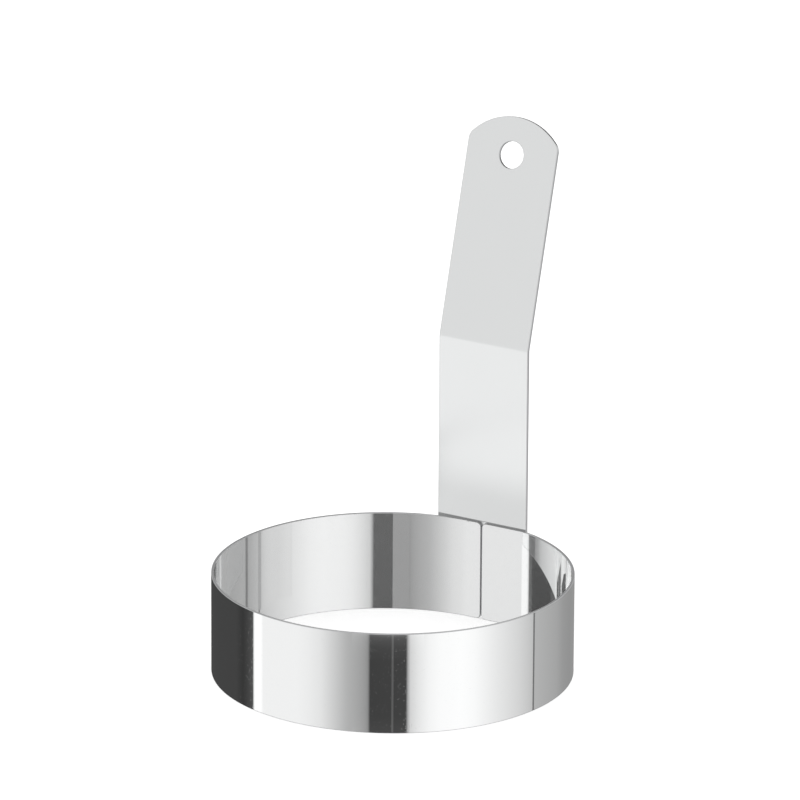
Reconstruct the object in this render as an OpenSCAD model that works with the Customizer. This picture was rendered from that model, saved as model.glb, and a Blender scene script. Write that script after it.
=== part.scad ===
// Egg ring: a thin sheet band bent into a ring and spot-welded to an upright strip handle.
// Millimetres. +Z is up, the ring stands on Z = 0 and the handle rises on its +Y side.
// The origin lies under the middle of the bounding box.

/* [Ring] */
// Outside diameter of the ring
ring_d = 89; // [78:0.5:110]
// Height of the band
band_h = 25.4; // [18:0.1:36]
// Thickness of the band's sheet
band_t = 0.7; // [0.5:0.05:1]
// Depth by which the flattened stretch under the handle lies inside the circle
flat_depth = 2.05; // [1:0.05:3]
// Share of that depth that the band is already pulled in beside the flat, on the soft side, -X
soft_pull = 0.97; // [0:0.01:0.98]
// The same share on the sharp side, +X
sharp_pull = 0.26; // [0:0.01:0.9]
// Outside bend radius at the flat's end on the soft side
soft_bend_r = 20; // [5:0.5:30]
// Outside bend radius at the flat's end on the sharp side
sharp_bend_r = 2; // [1.5:0.1:12]

/* [Seam] */
// Gap between the two ends of the band
seam_gap = 0.3; // [0.2:0.05:1.5]
// Distance of the seam's middle from the handle's middle, towards +X
seam_x = 0.3; // [-0.8:0.1:0.8]
// Corner radius on the ends of the band
end_corner_r = 1.2; // [0.5:0.1:2.5]

/* [Handle] */
// Width of the handle's strip
handle_w = 25.4; // [20:0.1:32]
// Thickness of the handle's sheet
handle_t = 0.9; // [0.7:0.05:1.5]
// Height of the fold above the surface that the ring stands on
fold_z = 72.3; // [45:0.1:95]
// Length of the leaning part, from the fold to the tip
lean_len = 56.5; // [40:0.5:80]
// Angle by which the upper part leans outwards
lean_a = 15.7; // [5:0.1:30]
// Inside radius of the fold
fold_r = 3; // [1:0.25:8]
// Height of the bow that ends the tip, over the full width of the strip
tip_bow = 6; // [2:0.1:9]
// Radius that rounds each shoulder of the tip
shoulder_r = 3; // [1.5:0.1:5]
// Corner radius at the foot of the tongue, behind the band
foot_corner_r = 2; // [1:0.1:4]
// Height of the foot above the surface, so that only the band touches the pan
foot_lift = 0.6; // [0.3:0.1:2]

/* [Hanging hole] */
// Diameter of the hanging hole
hole_d = 6.8; // [4:0.1:10]
// Distance from the hole's centre to the tip
hole_from_tip = 9.5; // [7:0.1:14]

/* [Spot welds] */
// Diameter of a weld nugget
nugget_d = 3.4; // [2:0.1:4.5]
// Depth that a nugget reaches into each of the two sheets
nugget_depth = 0.3; // [0.15:0.05:0.4]
// Distance of the nuggets from the handle's middle
weld_x = 4.8; // [3.5:0.1:6]
// Distance of the nuggets from the band's upper and lower edge
weld_edge = 6.5; // [4:0.1:8]
// Diameter of the dimple that the electrode leaves on the back of the tongue
dimple_d = 5; // [3:0.1:6]
// Depth of that dimple
dimple_depth = 0.12; // [0.05:0.01:0.2]

/* [Edges] */
// Rounding of every sheet edge
edge_r = 0.15; // [0.05:0.01:0.2]

/* [Hidden] */

$fn = 96;
ring_fn = 240;
edge_fn = 20;
bright_steel = [0.80, 0.81, 0.82];
satin_steel = [0.72, 0.73, 0.74];
weld_steel = [0.60, 0.60, 0.62];

// Bends and corners lap the stretches that they join, and stay inside them by being a hair smaller all over.
lap = 0.08;
hair = 0.005;

ring_r = ring_d / 2;
half_w = handle_w / 2;

// The front half of the ring is a circle. Behind it each side is a tighter arc, whose middle lies on X = 0 by an
// offset, and a bend joins that arc to the flat under the handle.
flat_y = ring_r - flat_depth;
soft_off = tidy(soft_pull * flat_depth);
sharp_off = tidy(sharp_pull * flat_depth);
soft_x = bend_x(soft_bend_r, soft_off);
sharp_x = bend_x(sharp_bend_r, sharp_off);
soft_a = atan((soft_x - soft_off) / (flat_y - soft_bend_r));
sharp_a = atan((sharp_x - sharp_off) / (flat_y - sharp_bend_r));

// The bow is an arc over the strip's width, and each shoulder touches the arc and a side from within.
bow_r = tidy((pow(half_w, 2) + pow(tip_bow, 2)) / (2 * tip_bow));
bow_y = lean_len - bow_r;
shoulder_x = half_w - shoulder_r;
shoulder_y = tidy(bow_y + sqrt(pow(bow_r - shoulder_r, 2) - pow(shoulder_x, 2)));
shoulder_a = atan2(shoulder_y - bow_y, shoulder_x);

// The fold turns about an axis behind the handle and takes this length from each straight part.
fold_face_r = fold_r + handle_t;
fold_take = tidy(fold_face_r * tan(lean_a / 2));

// The back of the tip is the part's farthest point, the front of the ring its nearest.
tip_y = flat_y + (lean_len - edge_r) * sin(lean_a) + (handle_t - edge_r) * cos(lean_a) + edge_r;
middle_y = tidy((tip_y - ring_r) / 2);

// The nuggets sit in two rows, on both sides of the seam.
weld_spots = [for (x = [-weld_x, weld_x], z = [weld_edge, band_h - weld_edge]) [x, flat_y, z]];

// A worked-out length, rounded to a thousandth of a millimetre.
function tidy(v) = round(v * 1000) / 1000;

// Distance from the middle of the flat to the place where an outside bend radius r begins, beside an arc whose
// middle is off to that side.
function bend_x(r, off) = tidy(off + sqrt(pow(ring_r - off - r, 2) - pow(flat_y - r, 2)));

// Angle that the lap takes on a radius r.
function lap_a(r) = lap / r * 180 / PI;

// Section of a sheet from x = 0 out to a rounded edge.
module edge_section(reach, thick) {
    square([reach - edge_r, thick]);
    translate([0, edge_r]) square([reach, thick - 2 * edge_r]);
    for (y = [edge_r, thick - edge_r])
        translate([reach - edge_r, y]) circle(edge_r, $fn = edge_fn);
}

// Section across a strip, both of its edges rounded.
module strip_section(width, thick) {
    edge_section(width / 2, thick);
    mirror([1, 0]) edge_section(width / 2, thick);
}

// A straight run of the section that follows, along Y.
module run(from_y, to_y) {
    translate([0, to_y, 0]) rotate([90, 0, 0]) linear_extrude(height = to_y - from_y) children();
}

// A slice of a round blank: flat sheet inside an arc, its rim rounded.
module slice(r, from_a, to_a, thick) {
    rotate([0, 0, from_a]) rotate_extrude(angle = to_a - from_a) edge_section(r, thick);
}

// A rounded corner of a blank, which laps the stretches on both sides of it.
module corner(x, y, r, from_a, to_a, thick) {
    translate([x, y, hair])
        slice(r - hair, from_a - lap_a(r), to_a + lap_a(r), thick - 2 * hair);
}

// The square-cut end of a blank between its two corners, reaching y = 0 from above.
module blank_end(width, r, thick) {
    half = width / 2 - r;
    reach = r + 4 * lap;
    translate([0, reach, 0]) rotate([0, 0, -90]) run(-half, half) edge_section(reach, thick);
    corner(-half, r, r, 180, 270, thick);
    corner(half, r, r, 270, 360, thick);
}

// A strip turned about Z on edge, with its face at radius r.
module turned_strip(width, thick, r, from_a, to_a) {
    rotate([0, 0, from_a])
        rotate_extrude(angle = to_a - from_a, $fn = ring_fn)
            translate([r, 0]) rotate(90) strip_section(width, thick);
}

// A bend, turned about Z, which laps the stretches on both sides of it and stays inside them by the inset.
module bend(width, thick, r, from_a, to_a, inset = hair) {
    turned_strip(width - 2 * inset, thick - 2 * inset, r - inset, from_a - lap_a(r), to_a + lap_a(r));
}

// Straight end of the band, laid flat: its rounded corners face the seam at y = 0.
module band_end(length) {
    run(end_corner_r, length) strip_section(band_h, band_t);
    blank_end(band_h, end_corner_r, band_t);
}

// One side of the band, on -X: the arc behind the circle, the bend of radius r at x, and the flat up to its end.
module band_side(off, x, r, a, end_x) {
    translate([-off, 0, band_h / 2]) bend(band_h, band_t, ring_r - off, 90 + a, 180);
    translate([-x, flat_y - r, band_h / 2]) bend(band_h, band_t, r, 90, 90 + a, 2 * hair);
    translate([-end_x, flat_y, band_h / 2]) rotate([90, -90, 0]) band_end(x - end_x);
}

// A weld nugget, half of it in each sheet.
module nuggets() {
    for (spot = weld_spots)
        translate(spot) rotate([90, 0, 0]) cylinder(d = nugget_d, h = 2 * nugget_depth, center = true);
}

// Shallow dimples that the electrodes press into the back of the tongue.
module dimples() {
    for (spot = weld_spots)
        translate(spot + [0, handle_t, 0]) rotate([90, 0, 0])
            cylinder(d = dimple_d, h = 2 * dimple_depth, center = true);
}

// Lower part of the blank, laid flat: the tongue's foot at the bottom, the fold at the top.
module tongue_blank() {
    run(foot_lift + foot_corner_r, fold_z - fold_take) strip_section(handle_w, handle_t);
    translate([0, foot_lift, 0]) blank_end(handle_w, foot_corner_r, handle_t);
}

// Upper part of the blank, laid flat: from the fold, at y = 0, to the bowed tip.
module lean_blank() {
    run(fold_take, shoulder_y) strip_section(handle_w, handle_t);
    translate([0, bow_y, 0]) slice(bow_r, shoulder_a, 180 - shoulder_a, handle_t);
    corner(shoulder_x, shoulder_y, shoulder_r, 0, shoulder_a, handle_t);
    corner(-shoulder_x, shoulder_y, shoulder_r, 180 - shoulder_a, 180, handle_t);
}

// The fold, turned about its axis behind the handle.
module fold() {
    translate([0, fold_face_r, fold_z - fold_take]) rotate([90, 0, 90])
        bend(handle_w, handle_t, fold_face_r, 180 - lean_a, 180);
}

module ring_band() {
    color(bright_steel) translate([0, -middle_y, 0]) difference() {
        union() {
            translate([0, 0, band_h / 2]) turned_strip(band_h, band_t, ring_r, 180, 360);
            band_side(soft_off, soft_x, soft_bend_r, soft_a, seam_gap / 2 - seam_x);
            mirror([1, 0, 0]) band_side(sharp_off, sharp_x, sharp_bend_r, sharp_a, seam_gap / 2 + seam_x);
        }
        nuggets();
    }
}

module handle() {
    color(satin_steel) translate([0, -middle_y, 0]) difference() {
        translate([0, flat_y, 0]) union() {
            translate([0, handle_t, 0]) rotate([90, 0, 0]) tongue_blank();
            fold();
            translate([0, 0, fold_z]) rotate([90 - lean_a, 0, 0]) translate([0, 0, -handle_t])
                difference() {
                    lean_blank();
                    translate([0, lean_len - hole_from_tip, -handle_t])
                        cylinder(d = hole_d, h = 3 * handle_t);
                }
        }
        nuggets();
        dimples();
    }
}

module spot_welds() {
    color(weld_steel) translate([0, -middle_y, 0]) nuggets();
}

ring_band();
handle();
spot_welds();
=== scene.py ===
"""Egg ring: a mirror-polished band, a satin strip handle and the welds between them, in a plain white studio."""

from math import atan2, cos, pi, radians, sin, sqrt, tan

import bpy
import numpy as np
from mathutils import Matrix, Vector
from mathutils.geometry import delaunay_2d_cdt


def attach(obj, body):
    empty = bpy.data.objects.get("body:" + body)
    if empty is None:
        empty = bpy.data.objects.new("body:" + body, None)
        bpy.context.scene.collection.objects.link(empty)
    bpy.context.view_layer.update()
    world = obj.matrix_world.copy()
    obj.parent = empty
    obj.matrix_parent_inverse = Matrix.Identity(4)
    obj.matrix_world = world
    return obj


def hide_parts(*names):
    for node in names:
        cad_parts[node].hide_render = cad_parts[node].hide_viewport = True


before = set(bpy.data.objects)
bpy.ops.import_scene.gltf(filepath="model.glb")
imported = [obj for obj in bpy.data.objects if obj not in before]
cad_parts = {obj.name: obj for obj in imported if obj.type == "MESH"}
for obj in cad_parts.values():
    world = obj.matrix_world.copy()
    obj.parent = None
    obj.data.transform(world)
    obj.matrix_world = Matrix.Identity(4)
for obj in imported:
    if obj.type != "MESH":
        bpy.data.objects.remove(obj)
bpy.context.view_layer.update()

# A millimetre, the unit of every length below, in metres
MM = 0.001

# Dimensions of the ring, as in the CAD source
RING_R = 44.5
BAND_H = 25.4
BAND_T = 0.7
FLAT_DEPTH = 2.05
SOFT_PULL = 0.97
SHARP_PULL = 0.26
SOFT_R = 20.0
SHARP_R = 2.0
SEAM_GAP = 0.3
SEAM_X = 0.3
END_CORNER_R = 1.2
EDGE_R = 0.15

# Dimensions of the handle, as in the CAD source
HALF_W = 12.7
HANDLE_T = 0.9
FOLD_Z = 72.3
LEAN_LEN = 56.5
LEAN_A = radians(15.7)
FOLD_R = 3.0
TIP_BOW = 6.0
SHOULDER_R = 3.0
FOOT_CORNER_R = 2.0
FOOT_LIFT = 0.6
HOLE_R = 3.4
HOLE_FROM_TIP = 9.5

# The electrode marks in the back of the tongue: radius, depth, width of the sloped rim, and the distances of their
# middles from the handle's middle and from the band's edges
DIMPLE_R = 2.5
DIMPLE_DEPTH = 0.12
DIMPLE_SLOPE = 0.6
WELD_X = 4.8
WELD_EDGE = 6.5
WELD_SPOTS = [(x, z) for x in (-WELD_X, WELD_X) for z in (WELD_EDGE, BAND_H - WELD_EDGE)]

# Worked-out places: the flat under the handle, the arcs and bends beside it, the tip's bow and the fold
FLAT_Y = RING_R - FLAT_DEPTH
SOFT_OFF = SOFT_PULL * FLAT_DEPTH
SHARP_OFF = SHARP_PULL * FLAT_DEPTH
SOFT_X = SOFT_OFF + sqrt((RING_R - SOFT_OFF - SOFT_R) ** 2 - (FLAT_Y - SOFT_R) ** 2)
SHARP_X = SHARP_OFF + sqrt((RING_R - SHARP_OFF - SHARP_R) ** 2 - (FLAT_Y - SHARP_R) ** 2)
SOFT_A = atan2(SOFT_X - SOFT_OFF, FLAT_Y - SOFT_R)
SHARP_A = atan2(SHARP_X - SHARP_OFF, FLAT_Y - SHARP_R)
SOFT_FLAT = SOFT_X - SEAM_GAP / 2 + SEAM_X
SHARP_FLAT = SHARP_X - SEAM_GAP / 2 - SEAM_X
BOW_R = (HALF_W ** 2 + TIP_BOW ** 2) / (2 * TIP_BOW)
BOW_Y = LEAN_LEN - BOW_R
SHOULDER_X = HALF_W - SHOULDER_R
SHOULDER_Y = BOW_Y + sqrt((BOW_R - SHOULDER_R) ** 2 - SHOULDER_X ** 2)
SHOULDER_A = atan2(SHOULDER_Y - BOW_Y, SHOULDER_X)
FOLD_FACE_R = FOLD_R + HANDLE_T
FOLD_TAKE = FOLD_FACE_R * tan(LEAN_A / 2)
FOLD_FROM = FOLD_Z - FOLD_TAKE
FOLD_ARC = FOLD_FACE_R * LEAN_A
TIP_Y = FLAT_Y + (LEAN_LEN - EDGE_R) * sin(LEAN_A) + (HANDLE_T - EDGE_R) * cos(LEAN_A) + EDGE_R
MIDDLE_Y = (TIP_Y - RING_R) / 2

# Number of steps over a rounded edge, and of points over the corners and curves of the outlines
EDGE_STEPS = 5
CORNER_POINTS = 9
SHOULDER_POINTS = 14
BOW_POINTS = 56
HOLE_POINTS = 96
MARK_POINTS = 48

# Columns and rows of the band, with closer columns over each bend and a little way past it
BAND_COLUMNS = 820
BAND_ROWS = 9
BEND_COLUMNS = 40
PAST_SOFT = 1
PAST_SHARP = 0.1

# Columns and rows of the handle, with closer rows over the fold and a gap on both sides of it. In the bow: the first
# row's distance from the shoulders, the spacing of the rows, and their margin inside the bow's edge
HANDLE_COLUMNS = 15
TONGUE_ROWS = 40
FOLD_ROWS = 15
LEAN_ROWS = 30
BESIDE_FOLD = 0.4
BOW_START = 1.5
BOW_SPACING = 1.6
BOW_MARGIN = 1

# Rings of points round the hanging hole, (radius, points), the radius of the field that has no other points, and how
# far inside the hole's rim the open part begins
HOLE_RINGS = ((3.9, 72), (4.6, 48), (5.6, 36))
HOLE_FIELD_R = 6.3
HOLE_SLACK = 0.02

# Rings of points over a mark's sloped rim and its bottom, and the margin round it that has no other points
SLOPE_RINGS = 7
BOTTOM_RINGS = (1.3, 0.6)
MARK_MARGIN = 0.25

# Material slots of a sheet
FRONT, EDGE, BACK = 0, 1, 2

# Camera, about the middle of the ring's base, with its clipping distances in metres
VIEW_AZIMUTH = radians(31.2)
VIEW_ELEVATION = radians(20.55)
VIEW_DISTANCE = 1999.0
VIEW_ROLL = radians(0.325)
AIM_X = 1.45
AIM_Z = 69.6
LENS = 366.17
SENSOR = 36.0
CLIP = (0.1, 20.0)

# Brightness that metal sees, by compass angle: clockwise in degrees, 0 straight behind the ring in the front view.
# Below the horizon, below it by way of a second mirror and of a third one, and above it
LOW_STUDIO = [
    (0, 0.32), (28, 0.33), (42, 0.37), (52, 0.44), (78.6, 0.54), (79.4, 0.62), (84, 0.69), (92, 0.79), (110, 0.965),
    (127, 1.16), (136, 1.2), (150, 1.17), (157, 1.1), (164, 0.94), (169.8, 0.75), (170.8, 0.065), (194.6, 0.06),
    (195.6, 0.35), (200, 0.43), (209, 0.54), (220, 0.79), (226, 0.93), (235, 1.02), (243, 1.06), (270, 1.06),
    (273, 1.3), (278.3, 1.3), (279.2, 0.1), (285, 0.065), (290, 0.045), (298, 0.065), (359, 0.065),
]
DEEP_STUDIO = [
    (0, 0.595), (139, 0.595), (160, 0.8), (182, 1.4), (187, 1.8), (195, 1.75), (197, 1.3), (198.5, 0.13),
    (211.5, 0.09), (212.5, 0.4), (219, 0.5), (224, 0.76), (231, 0.9), (245, 1.04), (253, 1.11), (274, 1.15),
    (276, 1.35), (281, 1.35), (282, 0.065), (359, 0.065),
]
DEEPER_STUDIO = [(0, 0.77), (150, 0.77), (190, 1.6), (359, 1.6)]
HIGH_STUDIO = [
    (0, 0.4), (12, 0.5), (25, 0.85), (80, 0.9), (120, 0.95), (165, 0.95), (200, 0.82), (240, 0.89), (280, 0.8),
    (300, 0.75), (345, 0.7), (360, 0.4),
]
# Brightness straight above, and the rise of a direction over which low turns into high and high into overhead
OVERHEAD = 0.95
LOW_TO_HIGH = (-0.32, 0.0)
HIGH_TO_OVERHEAD = (0.45, 0.8)

# Upright cards that only metal sees, from the ring's middle in the front view: place to the right and to the back,
# half the width, turn in degrees, lowest and highest edge, and brightness
CARDS = [
    (0, -60, 0.42, 0, -8, 22, 0.13),
    (-12.4, -38, 6.1, 0, -32, -1, 0.365),
    (903.9, 142.3, 12, -81, -365, -285, 0.2),
    (14.69, 40.67, 4.2, -31.2, 22, 25.36, 0.3),
    (-22, 78, 30, 28, -10, 106, 0.4),
]
# The veil before the ring, placed like a card, and the brightness that it adds by height, within a span of heights
VEIL_PLACE = (-1.5, -48, 10.5, 0)
VEIL_LOW, VEIL_HIGH = -3, 24.6
VEIL_SPAN = (-3, 25)
VEIL = [(-2, 0.03), (-0.5, 0.012), (3, 0), (17, 0), (20.5, 0.012), (22.5, 0.035), (23.3, 0.06), (24, 0.13)]
# The black hood behind the handle's tip: its distance behind the ring's middle, and corners across and in height
HOOD_Y = 95
HOOD = ((-45, 108), (19, 108), (19, 200), (-45, 200))
# The black flag inside the ring, before the flat: its place on X, and corners behind the ring's middle and in height
FLAG_X = 5.3
FLAG = ((38.2, 0), (41.6, 0), (41.6, 8.1), (40.2, 10.8), (38.2, 10.8))
# The black shade outside the ring and below it, placed like a card
SHADE_PLACE = (-36.6, 55.5, 13.5, 58.8)
SHADE_LOW, SHADE_HIGH = -25, -9
# The screen beside the left wall, placed like a card: its outline in half widths and height, the even brightness of
# its back, how far its front stands before that, and the front's brightness by distance behind the ring's middle,
# within a span of distances
SCREEN_PLACE = (-28.45, 29.95, 7, 45.8)
SCREEN_OUTLINE = ((-1, 3.4), (0, 3.4), (0.35, 5), (1, 5), (1, 25.2), (-1, 25.2))
SCREEN_BACK = 0.475
SCREEN_STEP = Vector((-0.05, 0.01, 0))
SCREEN_SPAN = (3, 18)
SCREEN = [
    (4.22, 0.475), (4.96, 0.475), (5.16, 0.2), (5.75, 0.2), (5.97, 0.44), (6.66, 0.49), (7.95, 0.55), (9.02, 0.6),
    (9.25, 0.45), (9.87, 0.45), (10.07, 0.66), (10.4, 0.73), (11.34, 0.8), (12.62, 0.84), (14.36, 0.85), (16.76, 0.93),
]
# The pale lid over the ring: the radius of its round front, its back corners, how far it and its raised lip stand
# above the band, and its brightness by distance behind the ring's middle
LID_R = 40
LID_POINTS = 33
LID_BACK = [(14.5, 42.35), (-14.5, 42.35)]
LID_RISE = 0.3
LIP_RISE = 1.3
LID_SPAN = (6, 25)
LID = [(6, 1.05), (25, 0.84)]
# Painted shade: the band's rim mirrors this grey strip where it meets the handle, which darkens that joint as shade in
# the crevice would.
# The grey strip under the lid's back edge: its corners in plan, its rise above the band, and its brightness
STRIP = ((-12.6, 42.42), (-12.6, 41.2), (13, 41.2), (13, 42.42))
STRIP_RISE = 0.15
STRIP_SHADE_LEVEL = 0.36

# Half the floor's side, its grey, and the glow that whitens it
FLOOR_HALF = 6000
FLOOR_GREY = 0.82
FLOOR_GLOW = 0.42


# Band and handle
def band_arcs():
    """The band's outer face in plan, from the seam round by -X: each run is (length, middle, radius, start angle)."""
    return [
        (SOFT_FLAT, (SOFT_FLAT - SOFT_X, FLAT_Y), 0, pi / 2),
        (SOFT_R * SOFT_A, (-SOFT_X, FLAT_Y - SOFT_R), SOFT_R, pi / 2),
        ((RING_R - SOFT_OFF) * (pi / 2 - SOFT_A), (-SOFT_OFF, 0), RING_R - SOFT_OFF, pi / 2 + SOFT_A),
        (RING_R * pi, (0, 0), RING_R, pi),
        ((RING_R - SHARP_OFF) * (pi / 2 - SHARP_A), (SHARP_OFF, 0), RING_R - SHARP_OFF, 2 * pi),
        (SHARP_R * SHARP_A, (SHARP_X, FLAT_Y - SHARP_R), SHARP_R, 2.5 * pi - SHARP_A),
        (SHARP_FLAT, (SHARP_X, FLAT_Y), 0, 2.5 * pi),
    ]


def band_path(s):
    """Outer face of the band in plan at the lengths s from the seam: points and outward normals."""
    points, normals = np.zeros((len(s), 2)), np.zeros((len(s), 2))
    start = 0
    for length, middle, r, from_a in band_arcs():
        here = s >= start - 1e-9
        d = s[here] - start
        a = from_a + (d / r if r else 0 * d)
        n = np.column_stack([np.cos(a), np.sin(a)])
        points[here] = middle + r * n - (0 if r else np.column_stack([d, 0 * d]))
        normals[here] = n
        start += length
    return points, normals


def place_band(flat, depth):
    """Rolls flat points (length, height) into the ring: points, and the axes along, up and into the sheet."""
    p, n = band_path(flat[:, 0])
    zero, one = np.zeros(len(flat)), np.ones(len(flat))
    along = np.column_stack([-n[:, 1], n[:, 0], zero])
    up = np.column_stack([zero, zero, one])
    inward = np.column_stack([-n[:, 0], -n[:, 1], zero])
    at = np.column_stack([p[:, 0], p[:, 1], flat[:, 1]]) + inward * depth[:, None]
    return at, along, up, inward


def place_handle(flat, depth):
    """Folds flat points (across, along the strip) into the handle: points, and the axes across, along and inward."""
    x, v = flat[:, 0], flat[:, 1]
    a = np.clip((v - FOLD_FROM) / FOLD_FACE_R, 0, LEAN_A)
    rest = np.clip(v - FOLD_FROM - FOLD_ARC, 0, None)
    low = np.minimum(v, FOLD_FROM)
    zero = np.zeros(len(flat))
    across = np.column_stack([zero + 1, zero, zero])
    along = np.column_stack([zero, np.sin(a), np.cos(a)])
    inward = np.column_stack([zero, np.cos(a), -np.sin(a)])
    y = FLAT_Y + FOLD_FACE_R * (1 - np.cos(a)) + rest * np.sin(a)
    z = low + FOLD_FACE_R * np.sin(a) + rest * np.cos(a)
    at = np.column_stack([x, y, z]) + inward * depth[:, None]
    return at, across, along, inward


def sheet_piece(name, loops, front, back, thick, place, dent=None):
    """A bent sheet with rounded edges. loops are closed lines of the face, each row (u, v, edge normal u, v).
    front and back are (inner points, faces), with faces that index the loops' points first. place bends flat points,
    and dent gives the back's depth and slopes. The faces take the slots FRONT, EDGE and BACK."""
    rim = np.vstack(loops)
    verts, normals = [], []

    def layer(flat, depth, local):
        """Adds points with normals given in the sheet's own axes, and returns the index of the first."""
        at, u, v, w = place(flat, depth)
        n = u * local[:, :1] + v * local[:, 1:2] + w * local[:, 2:]
        start = sum(len(x) for x in verts)
        verts.append(at)
        normals.append(n / np.linalg.norm(n, axis=1)[:, None])
        return start

    def face_layer(inner, side):
        flat = np.vstack([rim[:, :2], inner])
        depth = np.full(len(flat), 0.0 if side < 0 else thick)
        local = np.tile([0.0, 0.0, float(side)], (len(flat), 1))
        if side > 0 and dent is not None:
            d, du, dv = dent(flat)
            depth -= d
            local[:, 0], local[:, 1] = du, dv
        return layer(flat, depth, local)

    starts = [face_layer(front[0], -1)]
    for side, steps in ((-1, range(1, EDGE_STEPS + 1)), (1, range(EDGE_STEPS, 0, -1))):
        for k in steps:
            a = pi / 2 * k / EDGE_STEPS
            flat = rim[:, :2] + rim[:, 2:] * EDGE_R * sin(a)
            deep = EDGE_R * (1 - cos(a))
            depth = np.full(len(rim), deep if side < 0 else thick - deep)
            local = np.column_stack([rim[:, 2:] * sin(a), np.full(len(rim), side * cos(a))])
            starts.append(layer(flat, depth, local))
    starts.append(face_layer(back[0], 1))

    faces = [tuple(starts[0] + i for i in f) for f in front[1]]
    faces += [tuple(starts[-1] + i for i in reversed(f)) for f in back[1]]
    slots = [FRONT] * len(front[1]) + [BACK] * len(back[1])
    first = 0
    for loop in loops:
        around = [(first + i, first + (i + 1) % len(loop)) for i in range(len(loop))]
        faces += [(upper + a, lower + a, lower + b, upper + b)
                  for upper, lower in zip(starts, starts[1:]) for a, b in around]
        first += len(loop)
    slots += [EDGE] * (len(faces) - len(slots))

    mesh = bpy.data.meshes.new(name)
    at = np.vstack(verts)
    at[:, 1] -= MIDDLE_Y
    mesh.from_pydata((at * MM).tolist(), [], faces)
    mesh.polygons.foreach_set("use_smooth", [True] * len(faces))
    mesh.polygons.foreach_set("material_index", slots)
    mesh.update()
    mesh.normals_split_custom_set_from_vertices(np.vstack(normals).tolist())
    piece = bpy.data.objects.new(name, mesh)
    bpy.context.scene.collection.objects.link(piece)
    return piece


def make_band():
    """The band: columns across its height, closer together in the bends and the rounded corners of its ends."""
    length = sum(run[0] for run in band_arcs())
    corner = END_CORNER_R - EDGE_R
    turn = np.linspace(0, pi / 2, CORNER_POINTS)
    soft_end, sharp_end = SOFT_FLAT + SOFT_R * SOFT_A, length - SHARP_FLAT
    plain = np.linspace(END_CORNER_R, length - END_CORNER_R, BAND_COLUMNS)[1:-1]
    soft = np.linspace(SOFT_FLAT - PAST_SOFT, soft_end + PAST_SOFT, BEND_COLUMNS)
    sharp = np.linspace(sharp_end - SHARP_R * SHARP_A - PAST_SHARP, sharp_end + PAST_SHARP, BEND_COLUMNS)
    straight = np.unique(np.round(np.concatenate([plain, soft, sharp]), 3))

    # Length, height above the lower edge, and edge normal of each column's foot
    s = np.concatenate([END_CORNER_R - corner * np.cos(turn), straight,
                        length - END_CORNER_R + corner * np.sin(turn)])
    lift = np.concatenate([END_CORNER_R - corner * np.sin(turn), np.full(len(straight), EDGE_R),
                           END_CORNER_R - corner * np.cos(turn)])
    out_u = np.concatenate([-np.cos(turn), np.zeros(len(straight)), np.sin(turn)])
    out_v = np.concatenate([-np.sin(turn), -np.ones(len(straight)), -np.cos(turn)])
    last, top = len(s) - 1, BAND_ROWS - 1
    share = np.linspace(0, 1, BAND_ROWS)
    height = lift[:, None] + share[None, :] * (BAND_H - 2 * lift[:, None])

    index = -np.ones((len(s), BAND_ROWS), int)
    loop, inner = [], []

    def rim_point(i, j, nu, nv):
        index[i, j] = len(loop)
        loop.append((s[i], height[i, j], nu, nv))

    for i in range(len(s)):
        rim_point(i, 0, out_u[i], out_v[i])
    for j in range(1, top):
        rim_point(last, j, 1, 0)
    for i in range(last, -1, -1):
        rim_point(i, top, out_u[i], -out_v[i])
    for j in range(top - 1, 0, -1):
        rim_point(0, j, -1, 0)
    for i in range(1, last):
        for j in range(1, top):
            index[i, j] = len(loop) + len(inner)
            inner.append((s[i], height[i, j]))
    faces = [(index[i, j], index[i + 1, j], index[i + 1, j + 1], index[i, j + 1])
             for i in range(last) for j in range(top)]
    face = (np.array(inner), faces)
    return sheet_piece("polished_band", [np.array(loop)], face, face, BAND_T, place_band)


def arc(cx, cy, r, from_a, to_a, count, side=1):
    """Points of an arc with their normals, away from the centre, or towards it with side -1."""
    a = np.linspace(from_a, to_a, count)
    n = np.column_stack([np.cos(a), np.sin(a)])
    return np.column_stack([cx + r * n[:, 0], cy + r * n[:, 1], side * n])


def circle(cx, cy, r, count):
    """Points round a circle, without normals."""
    return arc(cx, cy, r, 0, 2 * pi, count + 1)[:-1, :2]


def lean_v(y):
    """Length along the strip of a place on the leaning part, given from the fold's corner."""
    return FOLD_FROM + FOLD_ARC + y - FOLD_TAKE


def handle_rows():
    """Heights of the handle's rows along the strip, close together over the fold."""
    tongue = np.linspace(FOOT_LIFT + FOOT_CORNER_R, FOLD_FROM - BESIDE_FOLD, TONGUE_ROWS)
    fold = np.linspace(FOLD_FROM, FOLD_FROM + FOLD_ARC, FOLD_ROWS)
    lean = np.linspace(FOLD_FROM + FOLD_ARC + BESIDE_FOLD, lean_v(SHOULDER_Y), LEAN_ROWS)
    return np.concatenate([tongue, fold, lean])


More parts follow.
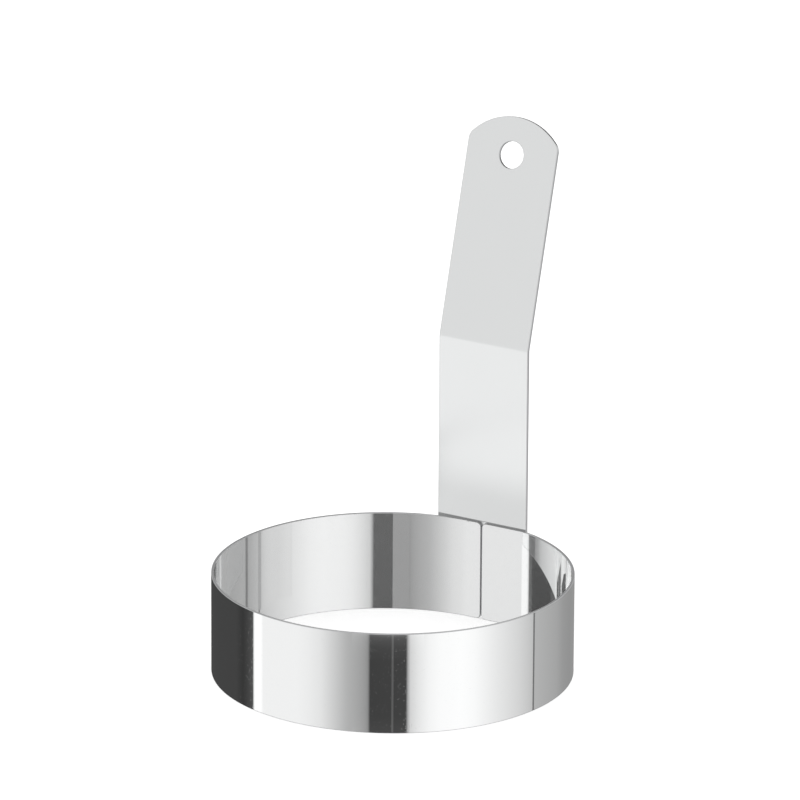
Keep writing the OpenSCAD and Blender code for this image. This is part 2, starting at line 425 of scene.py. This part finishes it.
def handle_outline(rows, columns):
    """Outline of the handle's flat face, from the foot round by +X, with the edge normals."""
    foot_x, foot_v, foot_r = HALF_W - FOOT_CORNER_R, FOOT_LIFT + FOOT_CORNER_R, FOOT_CORNER_R - EDGE_R
    shoulder_v, shoulder_r = lean_v(SHOULDER_Y), SHOULDER_R - EDGE_R
    count = len(columns) - 2
    foot = np.column_stack([columns[1:-1], np.full(count, FOOT_LIFT + EDGE_R), np.zeros(count), -np.ones(count)])
    side = np.column_stack([np.full(len(rows), HALF_W - EDGE_R), rows, np.ones(len(rows)), np.zeros(len(rows))])
    return np.vstack([
        foot,
        arc(foot_x, foot_v, foot_r, -pi / 2, 0, CORNER_POINTS)[:-1],
        side,
        arc(SHOULDER_X, shoulder_v, shoulder_r, 0, SHOULDER_A, SHOULDER_POINTS)[1:],
        arc(0, lean_v(BOW_Y), BOW_R - EDGE_R, SHOULDER_A, pi - SHOULDER_A, BOW_POINTS)[1:],
        arc(-SHOULDER_X, shoulder_v, shoulder_r, pi - SHOULDER_A, pi, SHOULDER_POINTS)[1:-1],
        side[::-1] * (-1, 1, -1, 1),
        arc(-foot_x, foot_v, foot_r, pi, 1.5 * pi, CORNER_POINTS)[1:],
    ])


def handle_points(rows, columns, hole_v):
    """Inner points of the handle's front face: rows, shorter ones in the bow, and rings round the hole."""
    bow_v = lean_v(BOW_Y)
    grid = [(x, v) for v in rows for x in columns]
    bow = [(x, v) for v in np.arange(lean_v(SHOULDER_Y) + BOW_START, lean_v(LEAN_LEN), BOW_SPACING) for x in columns
           if np.hypot(x, v - bow_v) < BOW_R - BOW_MARGIN]
    clear = [(x, v) for x, v in grid + bow if np.hypot(x, v - hole_v) > HOLE_FIELD_R]
    return np.vstack([np.array(clear)] + [circle(0, hole_v, r, count) for r, count in HOLE_RINGS])


def with_marks(points):
    """Inner points of the handle's back face: those of the front, with rings of points in the electrode marks."""
    marks = list(WELD_SPOTS)
    for x, z in WELD_SPOTS:
        for r in np.append(np.linspace(DIMPLE_R, DIMPLE_R - DIMPLE_SLOPE, SLOPE_RINGS), BOTTOM_RINGS):
            marks += circle(x, z, r, MARK_POINTS).tolist()
    clear = [p for p in points.tolist()
             if all(np.hypot(p[0] - x, p[1] - z) > DIMPLE_R + MARK_MARGIN for x, z in WELD_SPOTS)]
    return np.array(clear + marks)


def dimple_dent(flat):
    """Depth and slopes of the shallow electrode marks in the back of the tongue."""
    depth, du, dv = (np.zeros(len(flat)) for _ in range(3))
    for x, z in WELD_SPOTS:
        d = flat - (x, z)
        r = np.hypot(d[:, 0], d[:, 1])
        t = np.clip((DIMPLE_R - r) / DIMPLE_SLOPE, 0, 1)
        depth += DIMPLE_DEPTH * t * t * (3 - 2 * t)
        slope = -DIMPLE_DEPTH * 6 * t * (1 - t) / DIMPLE_SLOPE
        safe = np.maximum(r, 1e-6)
        du += slope * d[:, 0] / safe
        dv += slope * d[:, 1] / safe
    return depth, du, dv


def triangulated(loops, inner, hole):
    """Faces that fill the loops with the inner points, with nothing over the hole at (u, v, radius)."""
    points = np.vstack([np.vstack(loops)[:, :2], inner])
    edges, first = [], 0
    for loop in loops:
        edges += [(first + i, first + (i + 1) % len(loop)) for i in range(len(loop))]
        first += len(loop)
    flat, _, tris, origin, _, _ = delaunay_2d_cdt([Vector(p) for p in points.tolist()], edges, [], 0, 1e-6)
    faces = []
    for tri in tris:
        a, b, c = (flat[i] for i in tri)
        middle = (a + b + c) / 3
        if (middle - Vector(hole[:2])).length < hole[2]:
            continue
        f = [origin[i][0] for i in tri]
        if (b - a).cross(c - a) < 0:
            f.reverse()
        faces.append(tuple(f))
    return faces


def make_handle():
    """The handle: its outline with the hanging hole, folded once, with the electrode marks in its back."""
    rows = handle_rows()
    foot_x = HALF_W - FOOT_CORNER_R
    columns = np.linspace(-foot_x, foot_x, HANDLE_COLUMNS)
    hole_v, rim_r = lean_v(LEAN_LEN - HOLE_FROM_TIP), HOLE_R + EDGE_R
    hole = arc(0, hole_v, rim_r, 2 * pi, 0, HOLE_POINTS + 1, -1)[:-1]
    loops = [handle_outline(rows, columns), hole]
    plain = handle_points(rows, columns, hole_v)
    front, back = ((points, triangulated(loops, points, (0, hole_v, rim_r - HOLE_SLACK)))
                   for points in (plain, with_marks(plain)))
    return sheet_piece("satin_handle", loops, front, back, HANDLE_T, place_handle, dimple_dent)


# Shader nodes
def add(tree, kind, inputs=None, **settings):
    """A new shader node with its settings and inputs; an input is a plain value or another node's output."""
    node = tree.nodes.new(kind)
    for key, value in settings.items():
        setattr(node, key, value)
    for key, value in (inputs or {}).items():
        if isinstance(value, bpy.types.NodeSocket):
            tree.links.new(value, node.inputs[key])
        else:
            node.inputs[key].default_value = value
    return node


def calculated(tree, operation, *values):
    """Result of a math node."""
    return add(tree, "ShaderNodeMath", dict(enumerate(values)), operation=operation).outputs[0]


def mixed(tree, share, first, second):
    """Mix of two colours."""
    return add(tree, "ShaderNodeMix", {"Factor": share, 6: first, 7: second}, data_type="RGBA").outputs[2]


def grey(level):
    """A grey colour."""
    return (level, level, level, 1)


def ramp(tree, value, stops):
    """A colour ramp of greys: stops are (place, level)."""
    node = add(tree, "ShaderNodeValToRGB", {"Fac": value})
    line = node.color_ramp
    while len(line.elements) > 1:
        line.elements.remove(line.elements[-1])
    line.elements[0].position = stops[0][0]
    line.elements[0].color = grey(stops[0][1])
    for place, level in stops[1:]:
        line.elements.new(place).color = grey(level)
    return node.outputs["Color"]


def ranged(tree, value, source, target, **settings):
    """A value of the source range turned into one of the target range."""
    return add(tree, "ShaderNodeMapRange", {"Value": value, "From Min": source[0], "From Max": source[1],
                                            "To Min": target[0], "To Max": target[1]}, **settings).outputs[0]


def own_place(tree):
    """Place in the piece's own coordinates, in metres."""
    return add(tree, "ShaderNodeTexCoord").outputs["Object"]


def stretched_noise(tree, scale, detail, offset=0.0):
    """Noise in the part's own coordinates, stretched by the three scales, per metre."""
    mapped = add(tree, "ShaderNodeMapping", {"Vector": own_place(tree), "Scale": scale,
                                             "Location": (offset, offset, offset)})
    return add(tree, "ShaderNodeTexNoise", {"Vector": mapped.outputs["Vector"], "Scale": 1.0, "Detail": detail,
                                            "Roughness": 0.55}).outputs["Fac"]


def bump(tree, height, distance):
    """A bump of this height in metres."""
    return add(tree, "ShaderNodeBump", {"Height": height, "Distance": distance, "Strength": 1.0}).outputs["Normal"]


# Materials
def steel(name, colour, build, metallic=1.0):
    """A metal: build(tree) returns the sockets that vary over the surface, as a dict for the shader."""
    material = bpy.data.materials.new(name)
    material.use_nodes = True
    tree = material.node_tree
    shader = tree.nodes["Principled BSDF"]
    shader.inputs["Metallic"].default_value = metallic
    shader.inputs["Base Color"].default_value = (*colour, 1)
    for key, socket in build(tree).items():
        tree.links.new(socket, shader.inputs[key])
    material.diffuse_color = (*colour, 1)
    return material


def mirror_finish(tree):
    """Mirror polish: fine rolling lines round the band, and tiny pits that scatter a little light."""
    lines = stretched_noise(tree, (60, 60, 2600), 3)
    cells = add(tree, "ShaderNodeTexVoronoi", {"Vector": own_place(tree), "Scale": 2600.0, "Randomness": 1.0})
    near = ramp(tree, cells.outputs["Distance"], [(0.0, 1.0), (0.2, 1.0), (0.36, 0.0)])
    cell = add(tree, "ShaderNodeSeparateColor", {"Color": cells.outputs["Color"]}).outputs["Red"]
    rare = ramp(tree, cell, [(0.0, 0.0), (0.55, 0.0), (0.9, 1.0)])
    pits = calculated(tree, "MULTIPLY", near, rare)
    smooth = ranged(tree, lines, (0.0, 1.0), (0.015, 0.03))
    rough = calculated(tree, "MULTIPLY_ADD", pits, 0.22, smooth)
    return {"Roughness": rough, "Normal": bump(tree, lines, 2e-8)}


def satin_finish(tree):
    """Satin: fine grain along the strip, and a faint cloudiness."""
    grain = stretched_noise(tree, (9000, 900, 260), 4)
    cloud = stretched_noise(tree, (90, 90, 60), 3, 5.0)
    both = calculated(tree, "ADD", grain, cloud)
    return {"Roughness": ranged(tree, both, (0.6, 1.4), (0.17, 0.24)), "Normal": bump(tree, grain, 1.2e-6)}


def edge_finish(tree):
    """Cut and deburred sheet edge: short scratches across it."""
    scratches = stretched_noise(tree, (2500, 2500, 1800), 4)
    return {"Roughness": ranged(tree, scratches, (0.0, 1.0), (0.22, 0.42)), "Normal": bump(tree, scratches, 4e-6)}


def weld_finish(tree):
    """Weld metal: a coarse, dull skin."""
    grain = stretched_noise(tree, (3500, 3500, 3500), 5)
    return {"Roughness": ranged(tree, grain, (0.0, 1.0), (0.38, 0.62)), "Normal": bump(tree, grain, 1.5e-5)}


# Studio
def studio_world():
    """White for the camera and for soft light; metal sees white panels and dark flags round the horizon."""
    world = bpy.data.worlds.new("studio")
    bpy.context.scene.world = world
    world.use_nodes = True
    tree = world.node_tree
    tree.nodes.clear()
    towards = add(tree, "ShaderNodeTexCoord").outputs["Generated"]
    axes = add(tree, "ShaderNodeSeparateXYZ", {"Vector": towards}).outputs
    turn = calculated(tree, "ARCTAN2", axes["X"], axes["Y"])
    share = calculated(tree, "MULTIPLY_ADD", turn, 1 / (2 * pi), VIEW_AZIMUTH / (2 * pi) + 1)
    share = calculated(tree, "FRACT", share)
    low, deep, deeper, high = (ramp(tree, share, [(angle / 360, level) for angle, level in studio])
                               for studio in (LOW_STUDIO, DEEP_STUDIO, DEEPER_STUDIO, HIGH_STUDIO))
    path = add(tree, "ShaderNodeLightPath").outputs
    for mirrors, behind in ((1.5, deep), (2.5, deeper)):
        low = mixed(tree, calculated(tree, "GREATER_THAN", path["Glossy Depth"], mirrors), low, behind)

    def risen(between):
        return ranged(tree, axes["Z"], between, (0.0, 1.0), interpolation_type="SMOOTHSTEP")

    walls = mixed(tree, risen(LOW_TO_HIGH), low, high)
    seen = mixed(tree, risen(HIGH_TO_OVERHEAD), walls, grey(OVERHEAD))
    light = mixed(tree, path["Is Glossy Ray"], grey(1), seen)
    back = add(tree, "ShaderNodeBackground", {"Color": light, "Strength": 1.0})
    add(tree, "ShaderNodeOutputWorld", {"Surface": back.outputs[0]})


def studio_piece(name, corners, faces, build, unseen):
    """A surface of the studio, with corners in millimetres: build(tree) gives its shader, and unseen lists the kinds
    of ray that miss it."""
    mesh = bpy.data.meshes.new(name)
    mesh.from_pydata([tuple(Vector(c) * MM) for c in corners], [], faces)
    piece = bpy.data.objects.new(name, mesh)
    bpy.context.scene.collection.objects.link(piece)
    material = bpy.data.materials.new(name)
    material.use_nodes = True
    tree = material.node_tree
    tree.nodes.clear()
    add(tree, "ShaderNodeOutputMaterial", {"Surface": build(tree)})
    mesh.materials.append(material)
    for kind in unseen:
        setattr(piece, "visible_" + kind, False)


def only_for_metal(name, corners, shade, shown=None, faces=None):
    """A glowing surface that only mirrored rays see, one face if not told otherwise. shade is its brightness, or
    shade(tree) gives it, and shown(tree, glow) limits it."""
    def build(tree):
        colour = shade(tree) if callable(shade) else grey(shade)
        glow = add(tree, "ShaderNodeEmission", {"Color": colour}).outputs[0]
        return shown(tree, glow) if shown else glow

    studio_piece(name, corners, faces or [tuple(range(len(corners)))], build,
                 ("camera", "diffuse", "transmission", "volume_scatter", "shadow"))


def added(tree, glow):
    """Brightness that comes on top of what lies behind."""
    clear = add(tree, "ShaderNodeBsdfTransparent").outputs[0]
    return add(tree, "ShaderNodeAddShader", {0: glow, 1: clear}).outputs[0]


def in_mirror(number):
    """Limits a surface to rays that this many mirrors have turned."""
    def shown(tree, glow):
        depth = add(tree, "ShaderNodeLightPath").outputs["Glossy Depth"]
        match = calculated(tree, "COMPARE", depth, number, 0.5)
        clear = add(tree, "ShaderNodeBsdfTransparent").outputs[0]
        return add(tree, "ShaderNodeMixShader", {0: match, 1: clear, 2: glow}).outputs[0]
    return shown


def graded(span, stops, axis="Y", zero=MIDDLE_Y):
    """Brightness by the distance behind the ring's middle, or by the height, within a span of it."""
    low, high = span

    def shade(tree):
        where = add(tree, "ShaderNodeSeparateXYZ", {"Vector": own_place(tree)}).outputs[axis]
        share = ranged(tree, where, ((low - zero) * MM, (high - zero) * MM), (0.0, 1.0))
        return ramp(tree, share, [((at - low) / (high - low), level) for at, level in stops])
    return shade


def upright(x, y, half, turn, outline):
    """Corners of an upright card: the outline is in half widths across and in height."""
    a, t = VIEW_AZIMUTH, VIEW_AZIMUTH + radians(turn)
    spot = Vector((x * cos(a) - y * sin(a), x * sin(a) + y * cos(a) - MIDDLE_Y, 0))
    side = Vector((cos(t), sin(t), 0)) * half
    return [spot + side * k + Vector((0, 0, z)) for k, z in outline]


def oblong(low, high):
    """Outline of a plain card between two heights."""
    return (-1, low), (1, low), (1, high), (-1, high)


def level_at(points, z):
    """Corners at one height, from points in plan about the ring's middle."""
    return [(x, y - MIDDLE_Y, z) for x, y in points]


def make_cards():
    """The upright surfaces, and the lid and the strip over the ring, which the handle mirrors."""
    for *place, low, high, brightness in CARDS:
        only_for_metal("card", upright(*place, oblong(low, high)), brightness)
    veil = upright(*VEIL_PLACE, oblong(VEIL_LOW, VEIL_HIGH))
    only_for_metal("veil", veil, graded(VEIL_SPAN, VEIL, "Z", 0), added)
    only_for_metal("hood", [(x, HOOD_Y - MIDDLE_Y, z) for x, z in HOOD], 0)
    only_for_metal("flag", [(FLAG_X, y - MIDDLE_Y, z) for y, z in FLAG], 0, in_mirror(2.0))
    only_for_metal("shade", upright(*SHADE_PLACE, oblong(SHADE_LOW, SHADE_HIGH)), 0, in_mirror(1.0))

    screen = upright(*SCREEN_PLACE, SCREEN_OUTLINE)
    only_for_metal("card", screen, SCREEN_BACK)
    only_for_metal("screen", [corner + SCREEN_STEP for corner in screen], graded(SCREEN_SPAN, SCREEN))

    # Painted shade for the joint of the band's rim and the handle: a grey strip that only mirrors see.
    only_for_metal("strip", level_at(STRIP, BAND_H + STRIP_RISE), STRIP_SHADE_LEVEL)
    rim = [(LID_R * cos(t), LID_R * sin(t)) for t in np.linspace(pi, 2 * pi, LID_POINTS)]
    lid = level_at(rim + LID_BACK, BAND_H + LID_RISE)
    above = len(lid)
    faces = [tuple(range(above))] + [(k, k + 1, k + 1 + above, k + above) for k in range(LID_POINTS - 1)]
    only_for_metal("lid", lid + level_at(rim, BAND_H + LIP_RISE), graded(LID_SPAN, LID), faces=faces)


def make_floor():
    """White floor that keeps the soft shadow; metal looks past it at the studio."""
    def build(tree):
        lit = add(tree, "ShaderNodeBsdfDiffuse", {"Color": grey(FLOOR_GREY)}).outputs[0]
        glow = add(tree, "ShaderNodeEmission", {"Color": grey(1), "Strength": FLOOR_GLOW}).outputs[0]
        both = add(tree, "ShaderNodeAddShader", {0: lit, 1: glow}).outputs[0]
        direct = add(tree, "ShaderNodeLightPath").outputs["Is Camera Ray"]
        return add(tree, "ShaderNodeMixShader", {0: direct, 1: lit, 2: both}).outputs[0]

    corners = [(x * FLOOR_HALF, y * FLOOR_HALF, 0) for x, y in ((-1, -1), (1, -1), (1, 1), (-1, 1))]
    studio_piece("floor", corners, [(0, 1, 2, 3)], build, ("glossy",))


def make_camera():
    """The camera, with a long lens."""
    a, e, r = VIEW_AZIMUTH, VIEW_ELEVATION, VIEW_ROLL
    centre = Vector((0, -MIDDLE_Y, 0))
    spot = centre + VIEW_DISTANCE * Vector((sin(a) * cos(e), -cos(a) * cos(e), sin(e)))
    target = centre + Vector((AIM_X * cos(a), AIM_X * sin(a), AIM_Z))
    forward = (target - spot).normalized()
    right = forward.cross(Vector((0, 0, 1))).normalized()
    up = right.cross(forward)
    right, up = cos(r) * right + sin(r) * up, cos(r) * up - sin(r) * right
    data = bpy.data.cameras.new("camera")
    data.lens = LENS
    data.sensor_width = SENSOR
    data.clip_start, data.clip_end = CLIP
    camera = bpy.data.objects.new("camera", data)
    turn = Matrix((right, up, -forward)).transposed().to_4x4()
    camera.matrix_world = Matrix.Translation(spot * MM) @ turn
    bpy.context.scene.collection.objects.link(camera)
    bpy.context.scene.camera = camera


mirror = steel("mirror_steel", (0.82, 0.825, 0.825), mirror_finish)
# Painted shade: the band's inner face is the mirror steel made darker and less metallic, so the inside of the ring
# mirrors less light, as the shade within the ring would make it.
inside = steel("mirror_steel_inside_painted_shade", (0.77, 0.775, 0.775), mirror_finish, 0.835)
satin = steel("satin_steel", (0.80, 0.81, 0.81), satin_finish)
cut_edge = steel("cut_edge", (0.64, 0.645, 0.65), edge_finish)
# The band's rim edge: cut sheet steel like the handle's edges, with its grey lowered below theirs as painted shade, so
# the rim lines render dark.
rim_edge_painted_shade = steel("rim_edge_painted_shade", (0.53, 0.535, 0.54), edge_finish)
weld = steel("weld_metal", (0.50, 0.49, 0.48), weld_finish)

band = make_band()
for material in (mirror, rim_edge_painted_shade, inside):
    band.data.materials.append(material)
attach(band, "root")
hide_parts("ring_band")

handle = make_handle()
for material in (satin, cut_edge, satin):
    handle.data.materials.append(material)
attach(handle, "root")
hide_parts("handle")

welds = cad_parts["spot_welds"]
welds.data.materials.clear()
welds.data.materials.append(weld)

studio_world()
make_floor()
make_cards()
make_camera()
bpy.context.scene.view_settings.view_transform = "Standard"
